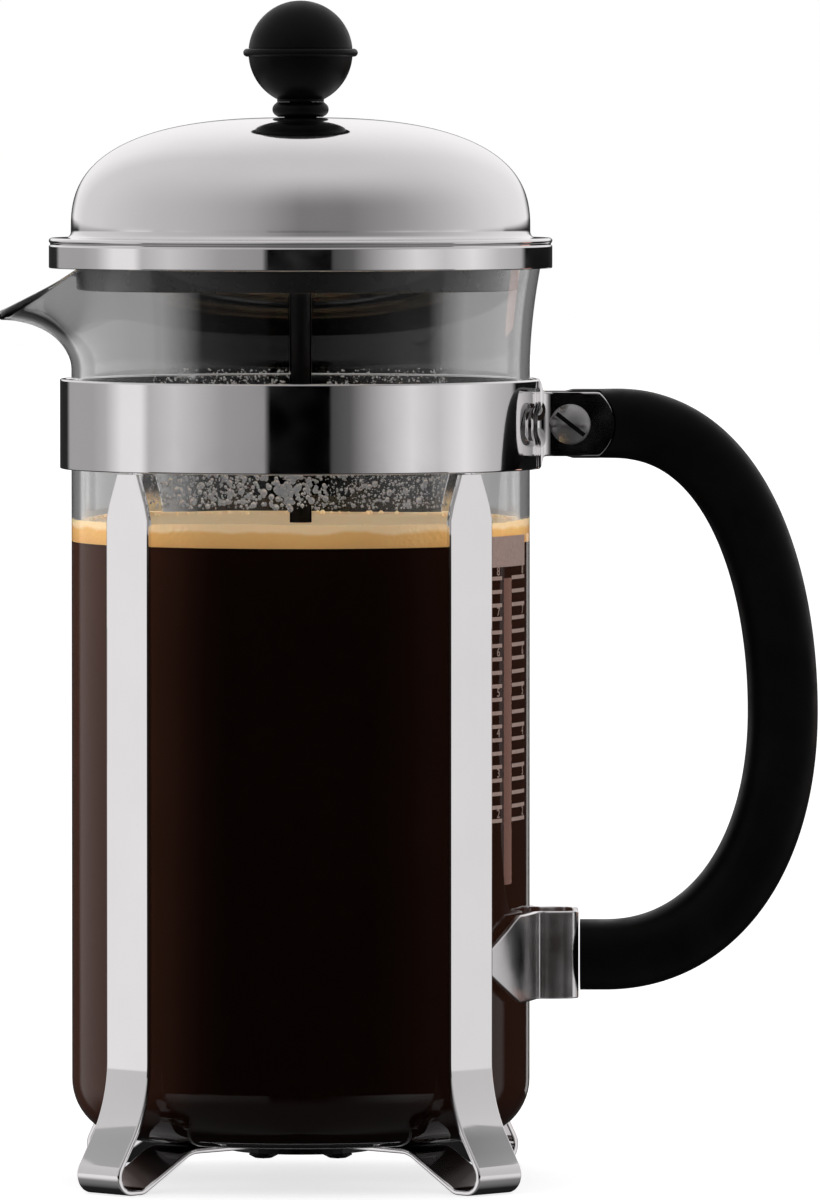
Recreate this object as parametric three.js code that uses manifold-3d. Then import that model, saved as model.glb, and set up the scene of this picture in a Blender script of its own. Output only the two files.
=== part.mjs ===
// French press, one litre: a glass beaker clamped in a chromed strap frame, with a domed lid and a plunger.
// Millimetres, +Z up. The beaker's axis is vertical, +X points to the handle and -X to the pouring spout.
import * as THREE from "three";
import { mergeVertices } from "three/addons/utils/BufferGeometryUtils.js";
import Module from "manifold-3d";

const wasm = await Module();
wasm.setup();

// ---- Driving dimensions ----
const GAP = 0.3; // clearance kept between pieces that touch on the real object
const SHEET = 1.2; // thickness of the frame's sheet metal
const ROUND = 36; // segments round a turned piece

const HANDLE_REACH = 108.4; // beaker axis to the handle's outer face
const SPOUT_REACH = 62.6; // beaker axis to the tip of the spout

const GLASS = {
  radius: 48,
  wall: 2,
  bottom: 9.1, // height of the base above the table
  floor: 2.4,
  corner: 12,
  flareStart: 170,
  rimTop: 194.6,
  flare: 2.9, // how much wider the rim is than the body
  flarePower: 1.8,
};
const SPOUT = { width: 24, lipDrop: 14.5, outPower: 1.7, upPower: 1.8, dipPower: 0.5 };

const COLLAR = { middle: 49.9, low: 149.1, high: 167.8 };
const EAR = { offset: 6.9, bendX: 52.6, start: 50.2, high: 13.4, centre: 57, radius: 8.6 };
const SCREW = { x: 56.4, z: (COLLAR.low + COLLAR.high) / 2, radius: 2, headRadius: 4.2, headHigh: 2.2 };
const WASHER = { radius: 4.4, thick: 0.8 };
const NUT = { radius: 4.04, high: 3.2, cap: 3.3 };

const LEG = {
  width: 12.4,
  neckWidth: 6,
  neckLength: 8.4,
  splay: 32, // degrees from vertical, above the foot
  splayBend: 30,
  footRadius: 3.4,
  footHeight: 4,
  land: 2.5, // flat length of the foot that meets the table
  footCentre: 54.9,
  rise: 29, // slope of the strap that returns from the foot to the hub
  riseBend: 8,
  innerEnd: 7,
};
const STRAP_LEVEL = GLASS.bottom - GAP - SHEET / 2; // middle of the straps under the beaker
const HUB = { radius: 15, rivetCircle: 11, rivetRadius: 1.6, rivetHead: 3 };
const CORNERS = { rear_right: 45, rear_left: 135, front_left: 225, front_right: 315 }; // degrees round Z

const HANDLE = {
  thick: 14.7,
  wide: 16,
  upper: SCREW.z,
  lower: 47,
  widest: 98, // height where the handle stands furthest out
  tangStart: 51.2, // the tang is the narrow end between the ears
  tangWide: 12,
  tangHigh: 13.4,
  tenonStart: 52.8, // the tenon is the narrow end inside the bracket
};
const BRACKET = { centre: 47.4, high: 18.3, neck: 5.6, side: 7.6, bend: 2, end: 57.6, corner: 2.5 };

const DOME = { radius: 48.1, base: 199, top: 222.5, power: 2.6, sheet: 0.8 };
const SKIRT = { radius: 52.7, low: 191, top: 197.3 };
const BUSH = { hole: 3.6, neck: 3.3, bead: 5.9, bore: 2.7, low: 216.5, nut: 6.6 };

const LID_COLLAR = { inner: 44, outer: 45.5, flange: 51.3, low: 186.5 };

const KNOB = { radius: 10.9, centre: 236, ring: 12, ringHigh: 1.7, foot: 226, footRadius: 4.9, bore: 3.9 };
const ROD = { radius: 2.3, low: 15.5, high: 232.5 };
const SPIRAL = { low: 18.8, rim: 42.1, rimHigh: 3.2, thick: 0.8, holeCircle: 29, hole: 3.2 };
const SPRING = { circle: 44.05, radius: 1.6 };
const MESH = { low: 18.1, radius: 45, thick: 0.4 };
const PLATE = { low: 17, radius: 43, thick: 0.8, holeCircle: 25, hole: 9 };
const FILTER_NUT = { low: 13.2, radius: 6 };

const rad = THREE.MathUtils.degToRad;

// ---- Materials ----
const metal = (color, roughness) => new THREE.MeshStandardMaterial({ color, roughness, metalness: 1 });
const plastic = (color, roughness) => new THREE.MeshStandardMaterial({ color, roughness, metalness: 0 });
const chrome = metal(0xd8d6d6, 0.08);
const steel = metal(0xb9b7b5, 0.3);
const brass = metal(0xb08d4a, 0.35);
const blackPlastic = plastic(0x0b0b0c, 0.4);
const glass = new THREE.MeshStandardMaterial({
  color: 0xeef2f2,
  roughness: 0.03,
  transparent: true,
  opacity: 0.3,
});

// ---- Joining and cutting ----
function solidOf(geometry) {
  const bare = geometry.clone();
  for (const name of Object.keys(bare.attributes)) {
    if (name !== "position") bare.deleteAttribute(name);
  }
  const merged = mergeVertices(bare, 1e-4);
  return new wasm.Manifold(
    new wasm.Mesh({
      numProp: 3,
      vertProperties: new Float32Array(merged.attributes.position.array),
      triVerts: new Uint32Array(merged.index.array),
    }),
  );
}

function geometryOf(solid) {
  const mesh = solid.getMesh();
  return new THREE.BufferGeometry()
    .setAttribute("position", new THREE.BufferAttribute(new Float32Array(mesh.vertProperties), 3))
    .setIndex(new THREE.BufferAttribute(new Uint32Array(mesh.triVerts), 1));
}

function cut(geometry, ...cutters) {
  return geometryOf(cutters.reduce((left, cutter) => left.subtract(solidOf(cutter)), solidOf(geometry)));
}

function join(...geometries) {
  return geometryOf(geometries.map(solidOf).reduce((whole, piece) => whole.add(piece)));
}

// ---- Simple shapes ----
const box = (x0, x1, y0, y1, z0, z1) =>
  new THREE.BoxGeometry(x1 - x0, y1 - y0, z1 - z0).translate((x0 + x1) / 2, (y0 + y1) / 2, (z0 + z1) / 2);

// A cylinder along Z, from z0 to z1.
const post = (radius, z0, z1, x = 0, y = 0, sides = 20) =>
  new THREE.CylinderGeometry(radius, radius, z1 - z0, sides).rotateX(Math.PI / 2).translate(x, y, (z0 + z1) / 2);

// A cylinder along Y, from y0 to y1.
const pin = (radius, y0, y1, x, z, sides = 24) =>
  new THREE.CylinderGeometry(radius, radius, y1 - y0, sides).translate(x, (y0 + y1) / 2, z);

// A solid of revolution round Z. The profile is a list of [radius, height] that closes on itself,
// or starts and ends on the axis, and runs anticlockwise when the radius points right.
function turned(profile, segments = ROUND) {
  const points = profile.map(([r, z]) => new THREE.Vector2(r, z));
  if (points[0].x > 0) points.push(points[0].clone());
  return new THREE.LatheGeometry(points, segments).rotateX(Math.PI / 2);
}

// Points of a circular arc, in degrees, as [radius, height] pairs.
function arc(cx, cz, radius, from, to, steps) {
  return Array.from({ length: steps + 1 }, (_, i) => {
    const a = rad(from + ((to - from) * i) / steps);
    return [cx + radius * Math.cos(a), cz + radius * Math.sin(a)];
  });
}

const line = (x0, y0, x1, y1) => new THREE.LineCurve(new THREE.Vector2(x0, y0), new THREE.Vector2(x1, y1));
const bend = (cx, cy, radius, from, to) =>
  new THREE.EllipseCurve(cx, cy, radius, radius, rad(from), rad(to), to < from, 0);

// The outline of a strip of sheet metal that follows a chain of lines and bends.
function stripShape(chain, thickness) {
  const sides = [[], []];
  for (const piece of chain) {
    const steps = piece.isLineCurve ? 1 : Math.max(3, Math.round((piece.getLength() / piece.xRadius) * 7));
    for (let i = 0; i <= steps; i++) {
      const p = piece.getPoint(i / steps);
      const t = piece.getTangent(i / steps);
      sides[0].push(new THREE.Vector2(p.x - (t.y * thickness) / 2, p.y + (t.x * thickness) / 2));
      sides[1].push(new THREE.Vector2(p.x + (t.y * thickness) / 2, p.y - (t.x * thickness) / 2));
    }
  }
  const outline = [...sides[0], ...sides[1].reverse()];
  return new THREE.Shape(outline.filter((p, i) => i === 0 || p.distanceTo(outline[i - 1]) > 1e-3));
}

const extruded = (shape, depth) => new THREE.ExtrudeGeometry(shape, { depth, bevelEnabled: false });

// ---- Beaker ----
// The outer wall at share t of the flared neck. How far the spout pulls it out depends on the angle
// from the spout.
function neckPoint(t, fromSpout) {
  const pull = Math.exp(-2 * (fromSpout / rad(SPOUT.width)) ** 2);
  const dip = pull ** SPOUT.dipPower;
  const neck = GLASS.rimTop - GLASS.flareStart;
  const plain = [GLASS.radius + GLASS.flare * t ** GLASS.flarePower, GLASS.flareStart + neck * t];
  const lip = [
    GLASS.radius + (SPOUT_REACH - GLASS.radius) * t ** SPOUT.outPower,
    GLASS.flareStart + (neck - SPOUT.lipDrop) * (1 - (1 - t) ** SPOUT.upPower),
  ];
  return [plain[0] + (lip[0] - plain[0]) * pull, plain[1] + (lip[1] - plain[1]) * dip];
}

function innerNeckPoint(t, fromSpout) {
  const step = 0.01;
  const [r, z] = neckPoint(t, fromSpout);
  const [r0, z0] = neckPoint(Math.max(0, t - step), fromSpout);
  const [r1, z1] = neckPoint(Math.min(1, t + step), fromSpout);
  const length = Math.hypot(r1 - r0, z1 - z0);
  return [r - (GLASS.wall * (z1 - z0)) / length, z + (GLASS.wall * (r1 - r0)) / length];
}

function makeBeaker() {
  const { radius, wall, bottom, floor, corner, flareStart } = GLASS;
  const neckSteps = 8;
  const segments = 48;
  const outside = arc(radius - corner, bottom + corner, corner, -90, 0, 5);
  const inside = arc(radius - corner, bottom + corner, corner - wall, 0, -76, 4);
  const shares = Array.from({ length: neckSteps + 1 }, (_, i) => i / neckSteps);
  const wallBelow = [...outside, [radius, flareStart - 20]];
  const innerBelow = [[radius - wall, flareStart - 20], ...inside, [0, bottom + floor]];
  const profile = [
    [0, bottom],
    ...wallBelow,
    ...shares.map((t) => neckPoint(t, Math.PI)),
    ...shares.map((t) => innerNeckPoint(1 - t, Math.PI)),
    ...innerBelow,
  ];
  const geometry = new THREE.LatheGeometry(
    profile.map(([r, z]) => new THREE.Vector2(r, z)),
    segments,
  );
  // The neck's rings are moved to the spout's shape. The spout points to -X, a quarter turn from the
  // lathe's seam.
  const position = geometry.attributes.position;
  const firstNeck = 1 + wallBelow.length;
  for (let i = 0; i <= segments; i++) {
    const turn = (i / segments) * Math.PI * 2;
    const fromSpout = Math.abs(Math.atan2(Math.sin(turn + Math.PI / 2), Math.cos(turn + Math.PI / 2)));
    shares.forEach((t, k) => {
      const places = [
        [firstNeck + k, neckPoint(t, fromSpout)],
        [firstNeck + shares.length + k, innerNeckPoint(1 - t, fromSpout)],
      ];
      for (const [j, [r, z]] of places) {
        position.setXYZ(i * profile.length + j, r * Math.sin(turn), z, r * Math.cos(turn));
      }
    });
  }
  return geometry.rotateX(Math.PI / 2);
}

// ---- Frame ----
const screwBore = () => pin(SCREW.radius + GAP, -12, 12, SCREW.x, SCREW.z);

// The collar is an open band whose two ends turn outwards into ears beside the handle.
function makeCollar() {
  const { middle, low, high } = COLLAR;
  const { offset, bendX, centre, radius } = EAR;
  const turn = (bendX ** 2 + offset ** 2 - middle ** 2) / (2 * (middle - offset));
  const lean = THREE.MathUtils.radToDeg(Math.atan2(offset + turn, bendX));
  const band = extruded(
    stripShape(
      [
        line(centre + radius, -offset, bendX, -offset),
        bend(bendX, -offset - turn, turn, 90, 180 - lean),
        bend(0, 0, middle, -lean, lean - 360),
        bend(bendX, offset + turn, turn, lean - 180, -90),
        line(bendX, offset, centre + radius, offset),
      ],
      SHEET,
    ),
    high - low,
  ).translate(0, 0, low);
  const reach = 70;
  const above = box(EAR.start, reach, -15, 15, SCREW.z + EAR.high / 2, high + 1);
  const below = box(EAR.start, reach, -15, 15, low - 1, SCREW.z - EAR.high / 2);
  const roundEnd = cut(
    box(centre, reach, -14, 14, low - 2, high + 2),
    pin(radius, -15, 15, centre, SCREW.z, 40),
  );
  return cut(band, above, below, roundEnd, screwBore());
}

// One leg, in the plane of the radius: down beside the glass, out to the foot, and back under the beaker.
function makeLeg() {
  const { width, splay, splayBend, footRadius, footHeight, land, footCentre, rise, riseBend } = LEG;
  const out = { x: Math.sin(rad(splay)), z: -Math.cos(rad(splay)) };
  const footStart = [footCentre - footRadius * out.z, footHeight + footRadius * out.x];
  const bendOut = splayBend * (1 - Math.cos(rad(splay)));
  const straight = (footStart[0] - COLLAR.middle - bendOut) / out.x;
  const splayStart = [footStart[0] - straight * out.x, footStart[1] - straight * out.z];
  const bendTop = splayStart[1] + splayBend * Math.sin(rad(splay));
  const returnStart = [
    footCentre - land - footRadius * Math.sin(rad(rise)),
    footHeight - footRadius * Math.cos(rad(rise)),
  ];
  const riseEnd = STRAP_LEVEL - riseBend * (1 - Math.cos(rad(rise)));
  const riseRun = (riseEnd - returnStart[1]) / Math.tan(rad(rise));
  const flatStart = returnStart[0] - riseRun - riseBend * Math.sin(rad(rise));
  const top = COLLAR.low - GAP;
  const strip = extruded(
    stripShape(
      [
        line(COLLAR.middle, top, COLLAR.middle, bendTop),
        bend(COLLAR.middle + splayBend, bendTop, splayBend, 180, 180 + splay),
        line(...splayStart, ...footStart),
        bend(footCentre, footHeight, footRadius, splay, -90),
        line(footCentre, footHeight - footRadius, footCentre - land, footHeight - footRadius),
        bend(footCentre - land, footHeight, footRadius, -90, -90 - rise),
        line(...returnStart, returnStart[0] - riseRun, riseEnd),
        bend(flatStart, STRAP_LEVEL - riseBend, riseBend, 90 - rise, 90),
        line(flatStart, STRAP_LEVEL, LEG.innerEnd, STRAP_LEVEL),
      ],
      SHEET,
    ),
    width,
  )
    .rotateX(Math.PI / 2)
    .translate(0, width / 2, 0);
  return cut(
    strip,
    neckCutter(1, top),
    neckCutter(-1, top),
    post(HUB.rivetRadius + GAP, STRAP_LEVEL - 3, STRAP_LEVEL + 3, HUB.rivetCircle, 0, 16),
  );
}

// The corner that is cut away on one side of a leg, where it narrows to its neck under the collar.
function neckCutter(side, top) {
  const slope = (LEG.width - LEG.neckWidth) / 2;
  const shape = new THREE.Shape([
    new THREE.Vector2((LEG.neckWidth / 2) * side, top + 0.01),
    new THREE.Vector2((LEG.neckWidth / 2 + slope * 1.01) * side, top - LEG.neckLength * 1.01),
    new THREE.Vector2(LEG.width * side, top - LEG.neckLength * 1.01),
    new THREE.Vector2(LEG.width * side, top + 1),
    new THREE.Vector2((LEG.neckWidth / 2) * side, top + 1),
  ]);
  return extruded(shape, 10)
    .rotateX(Math.PI / 2)
    .rotateZ(Math.PI / 2)
    .translate(COLLAR.middle - 5, 0, 0);
}

const hubTop = STRAP_LEVEL - SHEET / 2 - GAP;

function makeHub() {
  const bore = post(HUB.rivetRadius + GAP, 0, 20, HUB.rivetCircle, 0, 16);
  const holes = Object.values(CORNERS).map((angle) => bore.clone().rotateZ(rad(angle)));
  return cut(post(HUB.radius, hubTop - SHEET, hubTop, 0, 0, 40), ...holes);
}

function makeLegRivet() {
  const under = hubTop - SHEET - GAP;
  return turned(
    [
      [0, under - 1.1],
      [HUB.rivetHead * 0.6, under - 0.9],
      [HUB.rivetHead, under - 0.3],
      [HUB.rivetHead, under],
      [HUB.rivetRadius, under],
      [HUB.rivetRadius, STRAP_LEVEL + SHEET / 2 - 0.1],
      [0, STRAP_LEVEL + SHEET / 2 - 0.1],
    ],
    16,
  );
}

// The strap that joins the two right-hand legs and bulges out into a socket for the handle's lower end.
function makeBracket() {
  const { high, neck, side, bend: turn, end, corner } = BRACKET;
  const { middle } = COLLAR;
  const bendX = Math.sqrt((middle + turn) ** 2 - (side + turn) ** 2);
  const lean = THREE.MathUtils.radToDeg(Math.atan2(side + turn, bendX));
  const start = 45 - THREE.MathUtils.radToDeg((LEG.width / 2 + GAP) / middle);
  const low = BRACKET.centre - high / 2;
  const strap = extruded(
    stripShape(
      [
        bend(0, 0, middle, -start, -lean),
        bend(bendX, -side - turn, turn, 180 - lean, 90),
        line(bendX, -side, end - corner, -side),
        bend(end - corner, corner - side, corner, -90, 0),
        line(end, corner - side, end, side - corner),
        bend(end - corner, side - corner, corner, 0, 90),
        line(end - corner, side, bendX, side),
        bend(bendX, side + turn, turn, -90, lean - 180),
        bend(0, 0, middle, lean, start),
      ],
      SHEET,
    ),
    high,
  ).translate(0, 0, low);
  const legEdge = middle * Math.cos(rad(start));
  const tapers = [1, -1].map((up) => taperCutter(legEdge, neck / 2, high / 2, up));
  const window = box(bendX + 1, end + 3, -side + SHEET / 2, side - SHEET / 2, -0.5, 0.5)
    .scale(1, 1, HANDLE.thick + 2 * GAP)
    .translate(0, 0, HANDLE.lower);
  return cut(strap, ...tapers, window);
}

// What is cut from the bracket's strap beside a leg, above (up = 1) or below (up = -1) its narrow end.
function taperCutter(legEdge, narrow, full, up) {
  const rampLength = 6;
  const shape = new THREE.Shape([
    new THREE.Vector2(legEdge - 3, BRACKET.centre + up * narrow),
    new THREE.Vector2(legEdge, BRACKET.centre + up * narrow),
    new THREE.Vector2(legEdge + rampLength, BRACKET.centre + up * full * 1.001),
    new THREE.Vector2(legEdge + rampLength, BRACKET.centre + up * full * 1.5),
    new THREE.Vector2(legEdge - 3, BRACKET.centre + up * full * 1.5),
  ]);
  return extruded(shape, 120).rotateX(Math.PI / 2).translate(0, 60, 0);
}

// ---- Handle ----
function roundedSection(thick, wide, steps = 16) {
  const power = 2.8;
  return new THREE.Shape(
    Array.from({ length: steps }, (_, i) => {
      const a = (i / steps) * Math.PI * 2;
      const c = Math.cos(a);
      const s = Math.sin(a);
      return new THREE.Vector2(
        (Math.sign(c) * Math.abs(c) ** (2 / power) * thick) / 2,
        (Math.sign(s) * Math.abs(s) ** (2 / power) * wide) / 2,
      );
    }),
  );
}

function makeHandle() {
  const { thick, wide, upper, lower, widest, tangStart, tangWide, tangHigh, tenonStart } = HANDLE;
  const crest = HANDLE_REACH - thick / 2;
  const socketFace = BRACKET.end + SHEET / 2;
  const at = (x, z) => new THREE.Vector3(x, 0, z);
  const path = new THREE.CurvePath();
  path.add(new THREE.LineCurve3(at(EAR.centre, upper), at(66, upper)));
  path.add(new THREE.CubicBezierCurve3(at(66, upper), at(91, upper), at(crest, 127), at(crest, widest)));
  path.add(new THREE.CubicBezierCurve3(at(crest, widest), at(crest, 67), at(86, lower), at(64, lower)));
  path.add(new THREE.LineCurve3(at(64, lower), at(socketFace + 0.4, lower)));
  const grip = new THREE.ExtrudeGeometry(roundedSection(thick, wide), {
    extrudePath: path,
    steps: 36,
    bevelEnabled: false,
  });
  const cheeks = [-1, 1].map((side) =>
    pin(EAR.radius + GAP, -2, 2, EAR.centre, SCREW.z, 40).translate(0, side * (tangWide / 2 + 2), 0),
  );
  const [tangLow, tangTop] = [upper - tangHigh / 2, upper + tangHigh / 2];
  const tang = box(tangStart, EAR.centre + 6, -tangWide / 2, tangWide / 2, tangLow, tangTop);
  const tenonWide = 2 * (BRACKET.side - SHEET / 2 - GAP);
  const tenon = box(tenonStart, 61, -tenonWide / 2, tenonWide / 2, lower - thick / 2, lower + thick / 2);
  return cut(join(cut(grip, ...cheeks), tang, tenon), screwBore());
}

function makeClampScrew() {
  const { radius, headRadius, headHigh } = SCREW;
  const face = -EAR.offset - SHEET / 2 - GAP;
  const length = 21.5;
  const body = turned(
    [
      [0, 0],
      [headRadius * 0.62, 0.35],
      [headRadius * 0.92, 1.1],
      [headRadius, headHigh],
      [radius, headHigh],
      [radius, length],
      [0, length],
    ],
    28,
  )
    .rotateX(-Math.PI / 2)
    .translate(SCREW.x, face - headHigh, SCREW.z);
  const slot = box(-6, 6, -1, 0.9, -0.45, 0.45)
    .rotateY(rad(38))
    .translate(SCREW.x, face - headHigh, SCREW.z);
  return cut(body, slot);
}

function makeClampWasher() {
  const start = EAR.offset + SHEET / 2 + GAP;
  return cut(pin(WASHER.radius, start, start + WASHER.thick, SCREW.x, SCREW.z, 28), screwBore());
}

// A domed nut, with a blind bore for the screw.
function makeClampNut() {
  const start = EAR.offset + SHEET / 2 + WASHER.thick + 2 * GAP;
  const hex = new THREE.CylinderGeometry(NUT.radius, NUT.radius, NUT.high, 6).translate(0, NUT.high / 2, 0);
  const capProfile = [[0, 0.5], [NUT.cap, 0.5], ...arc(0, NUT.high + 0.4, NUT.cap, 0, 90, 5)];
  const cap = turned(capProfile, 24).rotateX(-Math.PI / 2);
  const whole = join(hex, cap).translate(SCREW.x, start, SCREW.z);
  return cut(whole, pin(SCREW.radius + GAP, start - 1, start + 4.2, SCREW.x, SCREW.z, 16));
}

// ---- Lid ----
// Height of the dome's surface at a radius, for a dome whose rim radius and height are given.
const domeHeight = (r, radius, height) => height * (1 - (r / radius) ** DOME.power) ** (1 / DOME.power);

function makeDome() {
  const { radius, base, top, sheet, power } = DOME;
  const fillet = 1.4;
  const edge = 1;
  const arch = (r, height, from, steps) =>
    Array.from({ length: steps + 1 }, (_, i) => {
      const a = rad(90 * (i / steps));
      const x = from + (r - from) * Math.sin(a) ** (2 / power);
      return [x, base + domeHeight(x, r, height)];
    });
  const outside = arch(radius, top - base, BUSH.hole, 11);
  const inside = arch(radius - sheet, top - base - sheet, BUSH.hole, 7);
  const ledge = SKIRT.top;
  return turned([
    ...outside.reverse(),
    ...inside,
    [radius - sheet, ledge - sheet],
    [SKIRT.radius - sheet, ledge - sheet],
    [SKIRT.radius - sheet, SKIRT.low],
    [SKIRT.radius, SKIRT.low],
    ...arc(SKIRT.radius - edge, ledge - edge, edge, 0, 90, 3),
    ...arc(radius + fillet, ledge + fillet, fillet, -90, -180, 3),
  ]);
}

function makeBush() {
  const { neck, bead, bore, low } = BUSH;
  const seat = DOME.top + GAP;
  const beadTop = KNOB.foot - GAP;
  return turned(
    [
      [bore, low],
      [neck, low],
      [neck, seat],
      [bead - 0.5, seat],
      [bead, seat + 0.7],
      [bead - 0.2, seat + 1.5],
      [bead - 1.1, beadTop],
      [bore, beadTop],
    ],
    32,
  );
}

function makeLidNut() {
  const under = DOME.top - DOME.sheet - GAP - 0.1;
  return cut(
    new THREE.CylinderGeometry(BUSH.nut, BUSH.nut, 2.4, 6).rotateX(Math.PI / 2).translate(0, 0, under - 1.2),
    post(BUSH.neck + GAP, 210, 230, 0, 0, 24),
  );
}

function makeLidCollar() {
  const { inner, outer, flange, low } = LID_COLLAR;
  const flangeLow = innerNeckPoint(1, Math.PI)[1] + GAP; // the flange rests on the beaker's rim
  const flangeTop = SKIRT.top - DOME.sheet - GAP;
  return turned([
    [inner, low],
    [outer, low],
    [outer + 0.3, flangeLow - 1],
    [outer + 1.1, flangeLow],
    [flange, flangeLow],
    [flange, flangeTop],
    [inner, flangeTop],
  ]);
}

// ---- Plunger ----
function makeKnobCap() {
  const low = KNOB.centre + KNOB.ringHigh / 2 + GAP;
  const start = THREE.MathUtils.radToDeg(Math.asin((low - KNOB.centre) / KNOB.radius));
  return turned([[0, low], ...arc(0, KNOB.centre, KNOB.radius, start, 90, 7)], 32);
}

function makeKnobBase() {
  const { radius, centre, ring, ringHigh, foot, footRadius, bore } = KNOB;
  const half = ringHigh / 2;
  const below = THREE.MathUtils.radToDeg(Math.asin(half / radius));
  const footAngle = THREE.MathUtils.radToDeg(Math.acos(footRadius / radius));
  return turned(
    [
      [bore, foot],
      [footRadius, foot],
      ...arc(0, centre, radius, -footAngle, -below, 6),
      ...arc(ring - half, centre, half, -90, 90, 4),
      [bore, centre + half],
    ],
    32,
  );
}

function makeKnobInsert() {
  const [low, top, outer] = [KNOB.foot + 0.2, ROD.high + 2, KNOB.bore - GAP];
  return turned(
    [
      [ROD.radius + GAP, low],
      [outer, low],
      [outer, top],
      [0, top],
      [0, ROD.high + GAP],
      [ROD.radius + GAP, ROD.high + GAP],
    ],
    20,
  );
}

const makeRod = () => post(ROD.radius, ROD.low, ROD.high);

// A ring of round holes, as cylinders to cut away.
const holeRing = (count, circle, radius, sides) =>
  Array.from({ length: count }, (_, i) => {
    const a = (i / count) * Math.PI * 2;
    return post(radius, 0, 40, circle * Math.cos(a), circle * Math.sin(a), sides);
  });

// A flat disc round the rod.
const disc = (radius, low, thick, bore = ROD.radius + GAP) =>
  turned([
    [bore, low],
    [radius, low],
    [radius, low + thick],
    [bore, low + thick],
  ]);

// A turned dish with a hub for the rod, whose raised rim the spring sits round.
function makeSpiralPlate() {
  const { low, rim, rimHigh, thick, holeCircle, hole } = SPIRAL;
  const [hubRadius, hubHigh, bore] = [5, 5, ROD.radius + GAP];
  const dish = turned([
    [bore, low],
    [rim, low],
    [rim, low + rimHigh],
    [rim - thick, low + rimHigh],
    [rim - thick, low + thick],
    [hubRadius, low + thick],
    [hubRadius, low + hubHigh],
    [bore, low + hubHigh],
  ]);
  return cut(dish, ...holeRing(8, holeCircle, hole, 8));
}

const makeFilterSpring = () =>
  new THREE.TorusGeometry(SPRING.circle, SPRING.radius, 6, ROUND).translate(0, 0, SPIRAL.low + 1.9);

const makeFilterMesh = () => disc(MESH.radius, MESH.low, MESH.thick);

const makeFilterPlate = () =>
  cut(disc(PLATE.radius, PLATE.low, PLATE.thick), ...holeRing(6, PLATE.holeCircle, PLATE.hole, 12));

// A nut with a blind bore for the end of the rod.
function makeFilterNut() {
  const { low, radius } = FILTER_NUT;
  const [top, bore, boreLow] = [PLATE.low - GAP, ROD.radius + GAP, ROD.low - GAP];
  return turned(
    [
      [0, low],
      [radius - 1, low],
      [radius, low + 1],
      [radius, top],
      [bore, top],
      [bore, boreLow],
      [0, boreLow],
    ],
    24,
  );
}

// ---- Assembly ----
const press = new THREE.Group();

function add(name, geometry, material, turnDegrees = 0) {
  const mesh = new THREE.Mesh(geometry, material);
  mesh.name = name;
  mesh.rotation.z = rad(turnDegrees);
  press.add(mesh);
}

add("glass_beaker", makeBeaker(), glass);
add("collar_band", makeCollar(), chrome);
for (const [corner, angle] of Object.entries(CORNERS)) {
  add(`leg_${corner}`, makeLeg(), chrome, angle);
  add(`leg_rivet_${corner}`, makeLegRivet().translate(HUB.rivetCircle, 0, 0), steel, angle);
}
add("base_hub", makeHub(), chrome);
add("handle_bracket", makeBracket(), chrome);
add("handle", makeHandle(), blackPlastic);
add("clamp_screw", makeClampScrew(), chrome);
add("clamp_washer", makeClampWasher(), steel);
add("clamp_nut", makeClampNut(), chrome);

add("lid_dome", makeDome(), chrome);
add("lid_bush", makeBush(), blackPlastic);
add("lid_nut", makeLidNut(), steel);
add("lid_collar", makeLidCollar(), blackPlastic);

add("knob_cap", makeKnobCap(), blackPlastic);
add("knob_base", makeKnobBase(), blackPlastic);
add("knob_insert", makeKnobInsert(), brass);
add("plunger_rod", makeRod(), steel);
add("spiral_plate", makeSpiralPlate(), steel);
add("filter_spring", makeFilterSpring(), steel);
add("filter_mesh", makeFilterMesh(), steel);
add("filter_plate", makeFilterPlate(), steel);
add("filter_nut", makeFilterNut(), steel);

// The origin is the middle of the space that the press takes up on the table.
press.position.x = (SPOUT_REACH - HANDLE_REACH) / 2;

export default press;
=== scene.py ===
"""A one litre french press in a pale studio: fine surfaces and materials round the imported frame."""
import math

import bmesh
import bpy
import numpy as np
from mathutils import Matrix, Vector


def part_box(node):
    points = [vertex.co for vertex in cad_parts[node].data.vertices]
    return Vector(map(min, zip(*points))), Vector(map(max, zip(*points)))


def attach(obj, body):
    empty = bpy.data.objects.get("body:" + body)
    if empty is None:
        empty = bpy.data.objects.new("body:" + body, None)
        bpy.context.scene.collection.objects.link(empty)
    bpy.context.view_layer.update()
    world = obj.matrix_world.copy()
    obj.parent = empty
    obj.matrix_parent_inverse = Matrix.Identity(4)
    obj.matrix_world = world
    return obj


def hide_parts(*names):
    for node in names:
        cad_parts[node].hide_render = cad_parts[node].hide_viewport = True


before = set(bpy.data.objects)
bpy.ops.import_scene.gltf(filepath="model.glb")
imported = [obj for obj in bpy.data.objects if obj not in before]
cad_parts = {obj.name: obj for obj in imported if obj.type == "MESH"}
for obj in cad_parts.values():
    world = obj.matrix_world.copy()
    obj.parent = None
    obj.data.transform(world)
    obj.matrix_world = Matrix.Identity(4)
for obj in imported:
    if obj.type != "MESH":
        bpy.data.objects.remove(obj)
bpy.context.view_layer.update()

MM = 0.001

# ---- Sizes in millimetres, measured from the beaker's axis and from the table ----
AXIS_X = sum(corner.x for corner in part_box("lid_dome")) / 2 / MM
low_of = lambda node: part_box(node)[0].z / MM
high_of = lambda node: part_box(node)[1].z / MM
left_of = lambda node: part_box(node)[0].x / MM - AXIS_X
right_of = lambda node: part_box(node)[1].x / MM - AXIS_X
middle_of = lambda node: (low_of(node) + high_of(node)) / 2

SHEET = 1.2  # thickness of the frame's sheet metal
GAP = 0.3  # clearance that the frame keeps between its pieces
EDGE = 0.25  # rounding of a sheet's edges

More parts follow.
